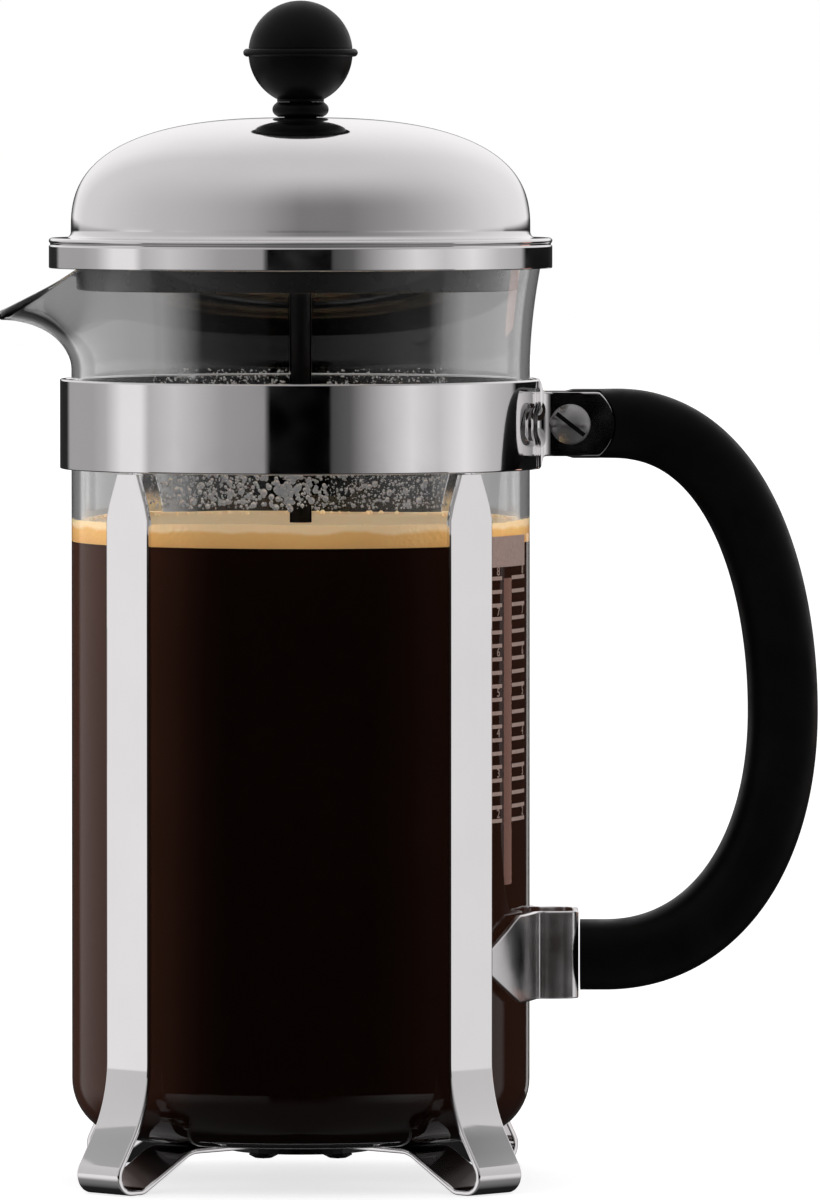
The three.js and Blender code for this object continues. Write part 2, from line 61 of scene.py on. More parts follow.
STRAP_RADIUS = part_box("collar_band")[1].y / MM - SHEET / 2  # axis to the middle of the collar's sheet
COLLAR = {"low": low_of("collar_band"), "high": high_of("collar_band")}
SCREW = {"x": (left_of("clamp_screw") + right_of("clamp_screw")) / 2, "z": middle_of("clamp_screw")}
EAR = {"offset": 6.9, "bend_x": 52.6, "start": 50.2, "high": 13.4, "centre": 57, "radius": 8.6}
LEG = {
    "width": 12.4,
    "neck": 6,
    "neck_length": 8.4,
    "splay": 32,
    "bend": 30,
    "foot_radius": 3.4,
    "foot_height": 4,
    "land": 2.5,
    "foot_centre": 54.9,
    "rise": 29,
    "rise_bend": 8,
    "inner_end": 7,
}
STRAP_LEVEL = low_of("glass_beaker") - GAP - SHEET / 2
BRACKET = {
    "z": middle_of("handle_bracket"),
    "high": high_of("handle_bracket") - low_of("handle_bracket"),
    "neck": 5.6,
    "side": 7.6,
    "bend": 2,
    "corner": 2.5,
    "end": right_of("handle_bracket") - SHEET / 2,
}

GLASS = {
    "radius": 48,
    "wall": 2,
    "bottom": low_of("glass_beaker"),
    "floor": 2.4,
    "corner": 12,
    "flare_start": 170,
    "rim_top": 194.6,
    "flare": 2.9,
}
INSIDE = GLASS["radius"] - GLASS["wall"] + 0.03  # what fills the glass is let into its wall by a hair
SPOUT = {"reach": -left_of("glass_beaker"), "width": 24, "drop": 14.5}

HANDLE = {"reach": right_of("handle"), "thick": 14.7, "wide": 16, "tang_wide": 12, "tang_high": 13.4}
HANDLE.update({"upper": SCREW["z"], "lower": low_of("handle") + HANDLE["thick"] / 2, "widest": 98})
DOME = {"radius": 48.1, "base": 199, "top": high_of("lid_dome"), "sheet": 0.8, "hole": 3.6}
SKIRT = {"radius": right_of("lid_dome"), "low": low_of("lid_dome"), "top": 197.3}
LID_COLLAR = {"inner": 44, "outer": 45.5, "flange": 51.3, "flange_high": 1.2}
KNOB = {"radius": 10.9, "centre": 236, "neck": 4.9, "bore": 3.9, "ring_high": 1.7}
KNOB["ring"] = right_of("knob_base")
COFFEE_TOP = 133.8
CREMA_TOP = 138.6


# ---- Meshes ----
def placed(name, data):
    """An object of this name in the scene."""
    made = bpy.data.objects.new(name, data)
    bpy.context.scene.collection.objects.link(made)
    return made


def smooth(mesh, sharp):
    """Smooth shading, but for edges sharper than an angle in degrees."""
    mesh.polygons.foreach_set("use_smooth", [True] * len(mesh.polygons))
    mesh.set_sharp_from_angle(angle=math.radians(sharp))


def mesh_piece(name, points, faces, material, body, sharp=35):
    """A piece made of points in millimetres about the beaker's axis."""
    mesh = bpy.data.meshes.new(name)
    mesh.from_pydata([((x + AXIS_X) * MM, y * MM, z * MM) for x, y, z in points], [], faces)
    work = bmesh.new()
    work.from_mesh(mesh)
    bmesh.ops.remove_doubles(work, verts=work.verts, dist=1e-7)
    bmesh.ops.delete(work, geom=[e for e in work.edges if not e.link_faces], context="EDGES")
    bmesh.ops.recalc_face_normals(work, faces=work.faces)
    work.to_mesh(mesh)
    work.free()
    smooth(mesh, sharp)
    mesh.materials.append(material)
    piece = placed(name, mesh)
    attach(piece, body)
    return piece


def skin(rings, closed_along=False):
    """Faces between equal rings of points. Each ring closes on itself, and open ends get a cap."""
    count, size = len(rings), len(rings[0])
    points = [tuple(p) for ring in rings for p in ring]
    faces = []
    for i in range(count if closed_along else count - 1):
        for j in range(size):
            a, b = i * size + j, i * size + (j + 1) % size
            c, d = ((i + 1) % count) * size + (j + 1) % size, ((i + 1) % count) * size + j
            faces.append((a, b, c, d))
    if not closed_along:
        faces += [tuple(range(size)), tuple(range((count - 1) * size, count * size))]
    return points, faces


def soften(outline, radius=0.25, steps=3):
    """Rounds each real corner of a closed outline."""
    soft = []
    count = len(outline)
    for i, corner in enumerate(outline):
        corners = corner, outline[i - 1], outline[(i + 1) % count]
        here, before, after = (np.array(p, float) for p in corners)
        back, ahead = before - here, after - here
        lengths = np.linalg.norm(back), np.linalg.norm(ahead)
        turn = math.acos(max(-1, min(1, -back @ ahead / (lengths[0] * lengths[1]))))
        if turn < math.radians(25) or here[0] < 1e-6:
            soft.append(tuple(here))
            continue
        cut = min(radius, lengths[0] * 0.3, lengths[1] * 0.3)
        start, end = here + back / lengths[0] * cut, here + ahead / lengths[1] * cut
        soft.append(tuple(here + back / lengths[0] * cut * 1.5))
        for k in range(steps + 1):
            t = k / steps
            soft.append(tuple((1 - t) ** 2 * start + 2 * t * (1 - t) * here + t * t * end))
        soft.append(tuple(here + ahead / lengths[1] * cut * 1.5))
    return soft


def spun(profile_at, segments):
    """Points and faces of a closed (radius, height) outline spun round Z. It may change with the angle."""
    rings = []
    for i in range(segments):
        a = 2 * math.pi * i / segments
        rings.append([(r * math.cos(a), r * math.sin(a), z) for r, z in profile_at(a)])
    return skin(rings, closed_along=True)


def turned(name, outline, material, body, segments=128, rounding=0.25):
    """A solid of revolution with softened corners."""
    profile = soften(outline, rounding)
    return mesh_piece(name, *spun(lambda a: profile, segments), material, body)


def arc(cx, cz, radius, start, end, steps):
    angles = np.radians(np.linspace(start, end, steps + 1))
    return [(cx + radius * math.cos(a), cz + radius * math.sin(a)) for a in angles]


def line_stations(start, end, count=2):
    """Points on a line with their direction."""
    start, end = np.array(start, float), np.array(end, float)
    along = (end - start) / np.linalg.norm(end - start)
    return [(start + (end - start) * t, along) for t in np.linspace(0, 1, count)]


def bend_stations(cx, cy, radius, start, end, count=None):
    """Points on an arc with their direction, from angle start to angle end in degrees."""
    count = count or max(5, int(abs(end - start) / 4))
    way = 1 if end > start else -1
    stations = []
    for a in np.radians(np.linspace(start, end, count)):
        point = np.array([cx + radius * math.cos(a), cy + radius * math.sin(a)])
        stations.append((point, np.array([-math.sin(a), math.cos(a)]) * way))
    return stations


def ribbon(name, stations, reach, place, material, body, rows=10, dimple=None, rounding=None):
    """A strip of sheet metal along the stations.

    reach(point) gives its two edges there, and place(x, y, height) puts a point of it in space.
    dimple(point, height) pushes its surface out, and rounding(point) is the radius of its edges.
    """
    half = SHEET / 2
    rings = []
    for i, (point, along) in enumerate(stations):
        if i > 0 and np.linalg.norm(point - stations[i - 1][0]) <= 1e-4:
            continue
        out = np.array([along[1], -along[0]])
        low, high = reach(point)
        edge = min(rounding(point) if rounding else EDGE, (high - low) / 3)
        corner = [(math.cos(a), math.sin(a)) for a in np.radians((0, 30, 60, 90))]
        section = [(half - edge + edge * c, high - edge + edge * s) for c, s in corner]
        section += [(-(half - edge) - edge * s, high - edge + edge * c) for c, s in corner]
        rise = [low + edge, *np.linspace(low + edge * 1.5, high - edge * 1.5, rows), high - edge]
        section += [(-half, h) for h in rise[-2:0:-1]]
        section += [(-(half - edge) - edge * c, low + edge - edge * s) for c, s in corner]
        section += [(half - edge + edge * s, low + edge - edge * c) for c, s in corner]
        section += [(half, h) for h in rise[1:-1]]
        ring = []
        for offset, height in section:
            push = dimple(point, height) if dimple else 0
            spot = point + out * (offset + push)
            ring.append(place(spot[0], spot[1], height))
        rings.append(ring)
    return mesh_piece(name, *skin(rings), material, body)


def stand_for(piece, node):
    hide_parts(node)


def turned_part(node, outline, material, body, segments=128):
    stand_for(turned(f"{node}_fine", outline, material, body, segments), node)


def evaluated(piece):
    """The mesh that an object's curve or modifiers come to."""
    bpy.context.view_layer.update()
    return bpy.data.meshes.new_from_object(piece.evaluated_get(bpy.context.evaluated_depsgraph_get()))


def join(piece, other, operation):
    """Adds or cuts away a second mesh, and removes it."""
    modifier = piece.modifiers.new("join", "BOOLEAN")
    modifier.operation = operation
    modifier.solver = "EXACT"
    modifier.object = other
    piece.data = evaluated(piece)
    piece.modifiers.clear()
    bpy.data.objects.remove(other)


# ---- Materials ----
class Graph:
    """A node tree, with short ways to add nodes. A value fed to an input may be another node's output."""

    def __init__(self, owner):
        owner.use_nodes = True
        self.nodes, self.links = owner.node_tree.nodes, owner.node_tree.links

    def feed(self, socket, value):
        if isinstance(value, bpy.types.NodeSocket):
            self.links.new(value, socket)
        else:
            socket.default_value = value

    def feed_all(self, node, values):
        for name, value in values.items():
            self.feed(node.inputs[name.replace("_", " ")], value)
        return node

    def node(self, kind, **inputs):
        return self.feed_all(self.nodes.new(f"ShaderNode{kind}"), inputs)

    def math(self, operation, *values):
        made = self.node("Math")
        made.operation = operation
        for socket, value in zip(made.inputs, values):
            self.feed(socket, value)
        return made.outputs["Value"]

    def ramp(self, value, *stops):
        made = self.node("ValToRGB", Fac=value)
        elements = made.color_ramp.elements
        while len(elements) < len(stops):
            elements.new(0.5)
        for element, (position, color) in zip(elements, stops):
            element.position = position
            element.color = (*color, 1)
        return made.outputs["Color"]


class Paint(Graph):
    """A node material: a Principled shader with helpers for procedural detail in object coordinates."""

    def __init__(self, name):
        self.material = bpy.data.materials.new(name)
        super().__init__(self.material)
        self.shader = self.nodes["Principled BSDF"]
        self.place = self.node("TexCoord").outputs["Object"]
        self.height = None

    def set(self, **values):
        self.feed_all(self.shader, values)
        return self

    def axis(self, name):
        return self.node("SeparateXYZ", Vector=self.place).outputs[name]

    def noise(self, scale, detail=3, stretch=None):
        place = self.place
        if stretch:
            place = self.node("Mapping", Scale=stretch, Vector=place).outputs["Vector"]
        return self.node("TexNoise", Scale=scale, Detail=detail, Vector=place).outputs["Fac"]

    def cells(self, scale):
        return self.node("TexVoronoi", Scale=scale, Vector=self.place).outputs["Distance"]

    def level(self, value, low, high, start=0.3, end=0.7):
        spans = {"From_Min": start, "From_Max": end, "To_Min": low, "To_Max": high}
        return self.node("MapRange", Value=value, **spans).outputs["Result"]

    def tint(self, value, first, second, start=0.3, end=0.7):
        """A base colour that goes from the first to the second as the value goes from start to end."""
        return self.set(Base_Color=self.ramp(value, (start, first), (end, second)))

    def bump(self, value, depth, strength=1.0):
        """depth is in millimetres. Bumps stack."""
        below = {"Normal": self.height} if self.height else {}
        made = self.node("Bump", Distance=depth * MM, Strength=strength, Height=value, **below)
        self.height = made.outputs["Normal"]
        return self.set(Normal=self.height)


def chrome_paint(name, shine):
    """shine is the roughness where the plating is clean."""
    paint = Paint(name).set(Metallic=1.0)
    smudge = paint.noise(60, 4)
    paint.tint(smudge, (0.93, 0.915, 0.92), (0.9, 0.885, 0.89), end=0.75)
    paint.set(Roughness=paint.level(paint.noise(140, 6), shine, shine * 1.5 + 0.02))
    return paint.bump(paint.noise(45, 1), 0.006).bump(paint.noise(3000, 2, (1, 1, 0.1)), 0.0006)


def steel_paint(name, roughness, color):
    paint = Paint(name).set(Metallic=1.0, Anisotropic=0.4)
    grain = paint.noise(900, 4, (1, 1, 0.08))
    dark = tuple(c * 0.86 for c in color)
    paint.tint(paint.noise(120, 4), color, dark, end=0.8)
    paint.set(Roughness=paint.level(grain, roughness * 0.75, roughness * 1.3))
    return paint.bump(grain, 0.01)


def plastic_paint(name, color, roughness, grain, depth, gloss):
    paint = Paint(name).set(Specular_IOR_Level=gloss)
    worn = tuple(c * 1.5 + 0.001 for c in color)
    paint.tint(paint.noise(90, 5), color, worn, 0.35, 0.8)
    paint.set(Roughness=paint.level(paint.noise(260, 5), roughness * 0.85, roughness * 1.2))
    return paint.bump(paint.noise(grain, 3), depth).bump(paint.noise(70, 1), 0.02)


def glass_paint():
    paint = Paint("clear_glass").set(Transmission_Weight=1.0, IOR=1.36)
    paint.tint(paint.noise(20, 2), (0.99, 0.995, 0.992), (0.975, 0.985, 0.982))
    paint.set(Roughness=paint.level(paint.noise(150, 5), 0.0, 0.012, 0.4, 0.75))
    return paint.bump(paint.noise(26, 1), 0.012)


def coffee_paint():
    paint = Paint("black_coffee").set(Specular_IOR_Level=0.0)
    paint.tint(paint.noise(35, 3), (0.017, 0.0066, 0.0042), (0.0145, 0.0056, 0.0035), end=0.75)
    return paint.set(Roughness=paint.level(paint.noise(60, 2), 0.4, 0.5))


def crema_paint():
    paint = Paint("coffee_foam").set(Subsurface_Weight=0.15, Subsurface_Scale=0.002)
    height = paint.level(paint.axis("Z"), 0.0, 1.0, COFFEE_TOP * MM, CREMA_TOP * MM)
    wander = paint.math("MULTIPLY_ADD", paint.noise(130, 5), 0.5, height)
    low, middle = (0.1, (0.62, 0.34, 0.13)), (0.35, (0.66, 0.36, 0.125))
    high, skin_color = (0.85, (0.74, 0.43, 0.15)), (1.0, (0.85, 0.62, 0.36))
    paint.set(Base_Color=paint.ramp(wander, low, middle, high, skin_color))
    paint.set(Roughness=paint.level(paint.noise(300, 3), 0.35, 0.6))
    return paint.bump(paint.cells(900), 0.12, 0.7).bump(paint.cells(2600), 0.04, 0.5)


def water_paint():
    paint = Paint("condensation_water").set(Transmission_Weight=0.75, IOR=1.33)
    paint.tint(paint.noise(40, 1), (0.8, 0.8, 0.81), (0.7, 0.7, 0.72))
    return paint.set(Roughness=paint.level(paint.noise(500, 2), 0.0, 0.03))


def ink_paint():
    paint = Paint("printed_ink").set(Specular_IOR_Level=0.25)
    paint.tint(paint.noise(1400, 4), (0.42, 0.3, 0.26), (0.34, 0.24, 0.205))
    paint.set(Roughness=paint.level(paint.noise(900, 3), 0.45, 0.65))
    return paint.bump(paint.noise(5000, 2), 0.002)


def mesh_paint():
    """Woven wire: two sets of waves at right angles."""
    paint = Paint("woven_steel_mesh").set(Metallic=1.0)
    waves = []
    for direction in ("X", "Y"):
        wave = paint.node("TexWave", Scale=900, Vector=paint.place)
        wave.bands_direction = direction
        waves.append(wave.outputs["Fac"])
    wires = paint.math("MAXIMUM", *waves)
    paint.tint(wires, (0.05, 0.05, 0.05), (0.66, 0.65, 0.63), 0.35, 0.75)
    paint.set(Roughness=paint.level(paint.noise(200, 3), 0.3, 0.45))
    return paint.bump(wires, 0.08)


CHROME = chrome_paint("polished_chrome", 0.035).material
SATIN_CHROME = chrome_paint("satin_chrome", 0.17).material
STEEL = steel_paint("satin_steel", 0.28, (0.72, 0.71, 0.7)).material
ROD_PAINT = steel_paint("rod_steel", 0.35, (0.018, 0.017, 0.017))
ROD_STEEL = ROD_PAINT.set(Specular_Tint=(0.1, 0.1, 0.1, 1)).material
DARK_STEEL = steel_paint("dark_steel", 0.3, (0.42, 0.415, 0.415)).material
BLACK_STEEL = steel_paint("blackened_steel", 0.3, (0.03, 0.03, 0.03)).material
BRASS = steel_paint("turned_brass", 0.3, (0.72, 0.52, 0.24)).material
HANDLE_PLASTIC = plastic_paint("handle_plastic", (0.0012, 0.0012, 0.0013), 0.45, 3200, 0.02, 0.1).material
KNOB_PLASTIC = plastic_paint("knob_plastic", (0.001, 0.001, 0.0012), 0.4, 4200, 0.008, 0.13).material
LID_PLASTIC = plastic_paint("lid_plastic", (0.01, 0.01, 0.011), 0.25, 2600, 0.006, 0.5).material
GLASS_CLEAR = glass_paint().material
COFFEE = coffee_paint().material
CREMA = crema_paint().material
WATER = water_paint().material
INK = ink_paint().material
WOVEN = mesh_paint().material


# ---- Beaker ----
def neck_point(t, from_spout):
    """The outer wall at share t of the flared neck, at an angle from the spout."""
    pull = math.exp(-2 * (from_spout / math.radians(SPOUT["width"])) ** 2)
    dip = pull**0.5
    neck = GLASS["rim_top"] - GLASS["flare_start"]
    plain = np.array([GLASS["radius"] + GLASS["flare"] * t**1.8, GLASS["flare_start"] + neck * t])
    reach = GLASS["radius"] + (SPOUT["reach"] - GLASS["radius"]) * t**1.7
    lip = np.array([reach, GLASS["flare_start"] + (neck - SPOUT["drop"]) * (1 - (1 - t) ** 1.8)])
    return plain + (lip - plain) * np.array([pull, dip])


def neck_direction(t, from_spout):
    step = neck_point(min(1, t + 0.01), from_spout) - neck_point(max(0, t - 0.01), from_spout)
    return step / np.linalg.norm(step)


def inner_neck_point(t, from_spout):
    along = neck_direction(t, from_spout)
    return neck_point(t, from_spout) + GLASS["wall"] * np.array([-along[1], along[0]])


def beaker_profile(turn):
    """The glass from under its base, up the outside, over the rim and down the inside."""
    from_spout = abs(math.remainder(turn - math.pi, 2 * math.pi))
    radius, wall, bottom, corner = (GLASS[key] for key in ("radius", "wall", "bottom", "corner"))
    shares = np.linspace(0, 1, 28)
    rim_out, rim_in = neck_point(1, from_spout), inner_neck_point(1, from_spout)
    middle, along = (rim_out + rim_in) / 2, neck_direction(1, from_spout)
    lip = []
    for a in np.radians((20, 55, 90, 125, 160)):
        lip.append(middle + math.cos(a) * (rim_out - middle) + math.sin(a) * along * wall * 0.35)
    points = [(0.01, bottom)] + arc(radius - corner, bottom + corner, corner, -90, 0, 14)
    points += [(radius, z) for z in np.linspace(bottom + corner + 6, GLASS["flare_start"] - 4, 12)]
    points += [neck_point(t, from_spout) for t in shares]
    points += lip
    points += [inner_neck_point(t, from_spout) for t in shares[::-1]]
    points += [(radius - wall, z) for z in np.linspace(GLASS["flare_start"] - 4, bottom + corner + 6, 12)]
    points += arc(radius - corner, bottom + corner, corner - wall, 0, -76, 12)
    points.append((0.01, bottom + GLASS["floor"]))
    return points


def make_beaker():
    piece = mesh_piece("glass_beaker_fine", *spun(beaker_profile, 192), GLASS_CLEAR, "frame", sharp=60)
    stand_for(piece, "glass_beaker")


# ---- Frame ----
upright = lambda x, y, height: (x, y, height)


def ear_reach(point):
    """The collar's edges: full height round the glass, the ears' height past the step, and round ends."""
    half = (COLLAR["high"] - COLLAR["low"]) / 2
    step = 0.5 + 0.5 * math.tanh((point[0] - EAR["start"]) * 3) if point[0] > 40 else 0
    half += (EAR["high"] / 2 - half) * step
    past = point[0] - EAR["centre"]
    if past > 0:
        half = min(half, math.sqrt(max(EAR["radius"] ** 2 - past**2, 0.04)))
    return SCREW["z"] - half, SCREW["z"] + half


def ear_dimple(point, height):
    """The pressed pockets that stiffen each ear's bend."""
    if point[0] < 40:
        return 0
    along = (point[0] - EAR["start"] + 1.7) / 1.8
    across = (height - SCREW["z"]) / 3.2
    rib = 0.3 * math.exp(-((along / 0.3) ** 2) - across**2)
    return rib - 0.85 * math.exp(-(along**4) - across**4)


def ear_rounding(point):
    """Crisp edges along the ears, softer ones everywhere else."""
    return 0.07 if EAR["bend_x"] < point[0] < EAR["centre"] + 2 else EDGE


def make_collar():
    offset, bend_x, end = EAR["offset"], EAR["bend_x"], EAR["centre"] + EAR["radius"]
    radius = (bend_x**2 + offset**2 - STRAP_RADIUS**2) / (2 * (STRAP_RADIUS - offset))
    lean = math.degrees(math.atan2(offset + radius, bend_x))
    round_end = [end - EAR["radius"] * (1 - math.sin(a)) for a in np.linspace(0.15, math.pi / 2, 14)]
    flat = [(np.array([x, 1.0]), np.array([1.0, 0])) for x in [bend_x + 0.3, bend_x + 2] + round_end]
    front = [(np.array([p[0], -offset]), -d) for p, d in reversed(flat)]
    rear = [(np.array([p[0], offset]), d) for p, d in flat]
    stations = (
        front
        + bend_stations(bend_x, -offset - radius, radius, 90, 180 - lean, 24)
        + bend_stations(0, 0, STRAP_RADIUS, -lean, lean - 360, 180)
        + bend_stations(bend_x, offset + radius, radius, lean - 180, -90, 24)
        + rear
    )
    outward = [(p, -d) for p, d in stations]
    shape = (40, ear_dimple, ear_rounding)
    piece = ribbon("collar_band_fine", outward, ear_reach, upright, CHROME, "frame", *shape)
    stand_for(piece, "collar_band")


def leg_stations():
    """One leg in the plane of its radius: down, out to the foot, and back under the glass."""
    splay, rise = math.radians(LEG["splay"]), math.radians(LEG["rise"])
    foot, height, centre = LEG["foot_radius"], LEG["foot_height"], LEG["foot_centre"]
    land, bend, rise_bend = LEG["land"], LEG["bend"], LEG["rise_bend"]
    foot_start = np.array([centre + foot * math.cos(splay), height + foot * math.sin(splay)])
    straight = (foot_start[0] - STRAP_RADIUS - bend * (1 - math.cos(splay))) / math.sin(splay)
    splay_start = foot_start + straight * np.array([-math.sin(splay), math.cos(splay)])
    bend_top = splay_start[1] + bend * math.sin(splay)
    return_start = np.array([centre - land - foot * math.sin(rise), height - foot * math.cos(rise)])
    rise_end = STRAP_LEVEL - rise_bend * (1 - math.cos(rise))
    run = (rise_end - return_start[1]) / math.tan(rise)
    flat_start = return_start[0] - run - rise_bend * math.sin(rise)
    return (
        line_stations((STRAP_RADIUS, COLLAR["low"] - GAP), (STRAP_RADIUS, bend_top), 40)
        + bend_stations(STRAP_RADIUS + bend, bend_top, bend, 180, 180 + LEG["splay"], 16)
        + line_stations(splay_start, foot_start, 3)
        + bend_stations(centre, height, foot, LEG["splay"], -90, 24)
        + line_stations((centre, height - foot), (centre - land, height - foot), 3)
        + bend_stations(centre - land, height, foot, -90, -90 - LEG["rise"], 10)
        + line_stations(return_start, (return_start[0] - run, rise_end), 4)
        + bend_stations(flat_start, STRAP_LEVEL - rise_bend, rise_bend, 90 - LEG["rise"], 90, 10)
        + line_stations((flat_start, STRAP_LEVEL), (LEG["inner_end"], STRAP_LEVEL), 8)
    )


def leg_reach(point):
    """A leg's width: narrow where it leaves the collar, full below."""
    share = min(1, max(0, (COLLAR["low"] - GAP - point[1]) / LEG["neck_length"]))
    half = (LEG["neck"] + (LEG["width"] - LEG["neck"]) * share) / 2
    return -half, half


def make_legs():
    corners = {"rear_right": 45, "rear_left": 135, "front_left": 225, "front_right": 315}
    for corner, angle in corners.items():
        cos, sin = math.cos(math.radians(angle)), math.sin(math.radians(angle))
        place = lambda r, z, side, cos=cos, sin=sin: (r * cos - side * sin, r * sin + side * cos, z)
        outward = [(p, -d) for p, d in leg_stations()]
        piece = ribbon(f"leg_{corner}_fine", outward, leg_reach, place, CHROME, "frame", rows=8)
        stand_for(piece, f"leg_{corner}")


def bracket_reach(point):
    """The bracket is narrow beside a leg and widens to its full height."""
    start = math.radians(45) - (LEG["width"] / 2 + GAP) / STRAP_RADIUS
    ramp = (point[0] - STRAP_RADIUS * math.cos(start)) / 6
    narrow, full = BRACKET["neck"] / 2, BRACKET["high"] / 2
    half = narrow + (full - narrow) * min(1, max(0, ramp))
    return BRACKET["z"] - half, BRACKET["z"] + half


def bracket_bow(point, height):
    """The socket's sides bulge slightly between its two corners."""
    share = (point[0] - 50) / (BRACKET["end"] - BRACKET["corner"] - 50)
    return 0.5 * math.sin(math.pi * share) if 0 < share < 1 and abs(point[1]) > 6 else 0


def make_bracket():
    side, turn, end, corner = (BRACKET[key] for key in ("side", "bend", "end", "corner"))
    bend_x = math.sqrt((STRAP_RADIUS + turn) ** 2 - (side + turn) ** 2)
    lean = math.degrees(math.atan2(side + turn, bend_x))
    start = 45 - math.degrees((LEG["width"] / 2 + GAP) / STRAP_RADIUS)
    half = (
        bend_stations(0, 0, STRAP_RADIUS, -start, -lean, 40)
        + bend_stations(bend_x, -side - turn, turn, 180 - lean, 90, 14)
        + line_stations((bend_x, -side), (end - corner, -side), 16)
        + bend_stations(end - corner, corner - side, corner, -90, 0, 14)
        + line_stations((end, corner - side), (end, 0), 4)
    )
    mirrored = [(p * np.array([1, -1]), d * np.array([-1, 1])) for p, d in reversed(half)]
    stations = half + mirrored[1:]
    shape = (12, bracket_bow)
    piece = ribbon("handle_bracket_fine", stations, bracket_reach, upright, SATIN_CHROME, "frame", *shape)
    stand_for(piece, "handle_bracket")


# ---- Handle ----
def bezier(a, b, c, d, count):
    stations = []
    for t in np.linspace(0, 1, count):
        p = (1 - t) ** 3 * a + 3 * t * (1 - t) ** 2 * b + 3 * t * t * (1 - t) * c + t**3 * d
        q = (1 - t) ** 2 * (b - a) + 2 * t * (1 - t) * (c - b) + t * t * (d - c)
        stations.append((p, q / np.linalg.norm(q)))
    return stations


def cheek(side):
    """What the handle leaves out beside its tang, for an ear."""
    outer = HANDLE["wide"]
    inner = HANDLE["tang_wide"] / 2
    circle = arc(EAR["centre"], SCREW["z"], EAR["radius"] + GAP, 0, 360, 96)[:-1]
    rings = [[(x, side * y, z) for x, z in circle] for y in (inner, outer)]
    return mesh_piece(f"cheek{side}", *skin(rings), HANDLE_PLASTIC, "frame")


def make_handle():
    crest = HANDLE["reach"] - HANDLE["thick"] / 2
    upper, lower, widest = HANDLE["upper"], HANDLE["lower"], HANDLE["widest"]
    at = lambda x, z: np.array([x, z], float)
    stations = (
        line_stations(at(EAR["centre"], upper), at(66, upper), 8)
        + bezier(at(66, upper), at(91, upper), at(crest, 127), at(crest, widest), 70)[1:]
        + bezier(at(crest, widest), at(crest, 67), at(86, lower), at(64, lower), 70)[1:]
        + line_stations(at(64, lower), at(BRACKET["end"] + SHEET / 2 + 0.4, lower), 4)[1:]
    )
    section = []
    for a in np.linspace(0, 2 * math.pi, 64, endpoint=False):
        c, s = math.cos(a), math.sin(a)
        section.append((math.copysign(abs(c) ** (2 / 2.8), c), math.copysign(abs(s) ** (2 / 2.8), s)))
    rings = []
    for point, along in stations:
        out = np.array([-along[1], along[0]])
        past_ear = min(1, max(0, (point[0] - EAR["centre"]) / 14)) if point[1] > widest else 1
        thick = HANDLE["thick"] - 0.4 * (1 - past_ear)
        ring = []
        for c, s in section:
            spot = point + out * c * thick / 2
            ring.append((spot[0], s * HANDLE["wide"] / 2, spot[1]))
        rings.append(ring)
    grip = mesh_piece("handle_fine", *skin(rings), HANDLE_PLASTIC, "frame")
    for side in (-1, 1):
        join(grip, cheek(side), "DIFFERENCE")
    half = HANDLE["tang_high"] / 2
    start, step, end = 51.2, EAR["centre"] - 1.5, EAR["centre"] + 6
    full = HANDLE["thick"] / 2 - 0.25
    edge = [(start, half), (step, half), (step + 1.5, full), (end, full)]
    outline = soften([(x, upper - z) for x, z in edge] + [(x, upper + z) for x, z in edge[::-1]], 0.8, 4)
    rings = [[(x, y, z) for x, z in outline] for y in (-HANDLE["tang_wide"] / 2, HANDLE["tang_wide"] / 2)]
    join(grip, mesh_piece("tang", *skin(rings), HANDLE_PLASTIC, "frame"), "UNION")
    smooth(grip.data, 32)
    stand_for(grip, "handle")


def make_screw():
    """The clamp screw: a domed head at the front and a plain shank. Its askew slot is not cut: a
    near-black bar laid flush into the dome paints the slot's shade.
    """
    front, end = (corner.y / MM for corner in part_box("clamp_screw"))
    radius = (right_of("clamp_screw") - left_of("clamp_screw")) / 2
    high, shank, edge = 2.2, 2, 0.4
    base = front + high
    ball = (radius**2 + (high - edge) ** 2) / (2 * (high - edge))
    lean = math.degrees(math.asin(radius / ball))
    profile = [(0, base - end), (shank, base - end), (shank, 0), (radius - 0.2, 0), (radius, 0.15)]
    profile += arc(0, high - ball, ball, 90 - lean, 90, 16)
    x0, z0 = SCREW["x"], SCREW["z"]
    rings = []
    for a in np.linspace(0, 2 * math.pi, 64, endpoint=False):
        rings.append([(x0 + r * math.cos(a), base - h, z0 + r * math.sin(a)) for r, h in profile])
    piece = mesh_piece("clamp_screw_fine", *skin(rings, closed_along=True), DARK_STEEL, "frame", sharp=50)

    # Painted shade for the slot: a thin near-black bar set into the dome's face, where a cut slot's recess
    # would fall dark.
    reach, half, depth = 3.7, 0.45, 0.3
    along, across = (np.array([math.cos(a), math.sin(a)]) for a in np.radians((-38, 52)))
    rings = []
    for s in np.linspace(-reach, reach, 15):
        top = front + ball - math.sqrt(ball**2 - s**2) - 0.03
        ring = []
        for w, y in ((-half, top), (half, top), (half, top + depth), (-half, top + depth)):
            x, z = s * along + w * across
            ring.append((x0 + x, y, z0 + z))
        rings.append(ring)
    mesh_piece("clamp_screw_slot", *skin(rings), HANDLE_PLASTIC, "frame")
    stand_for(piece, "clamp_screw")


# ---- Lid ----
def dome_arch(radius, height, steps=40):
    """Points of a dome's section, from its hole down to its edge."""
    power = 2.6
    points = []
    for i in range(steps + 1):
        share = math.sin(math.pi / 2 * i / steps) ** (2 / power)
        r = DOME["hole"] + (radius - DOME["hole"]) * share
        points.append((r, DOME["base"] + height * (1 - (r / radius) ** power) ** (1 / power)))
    return points


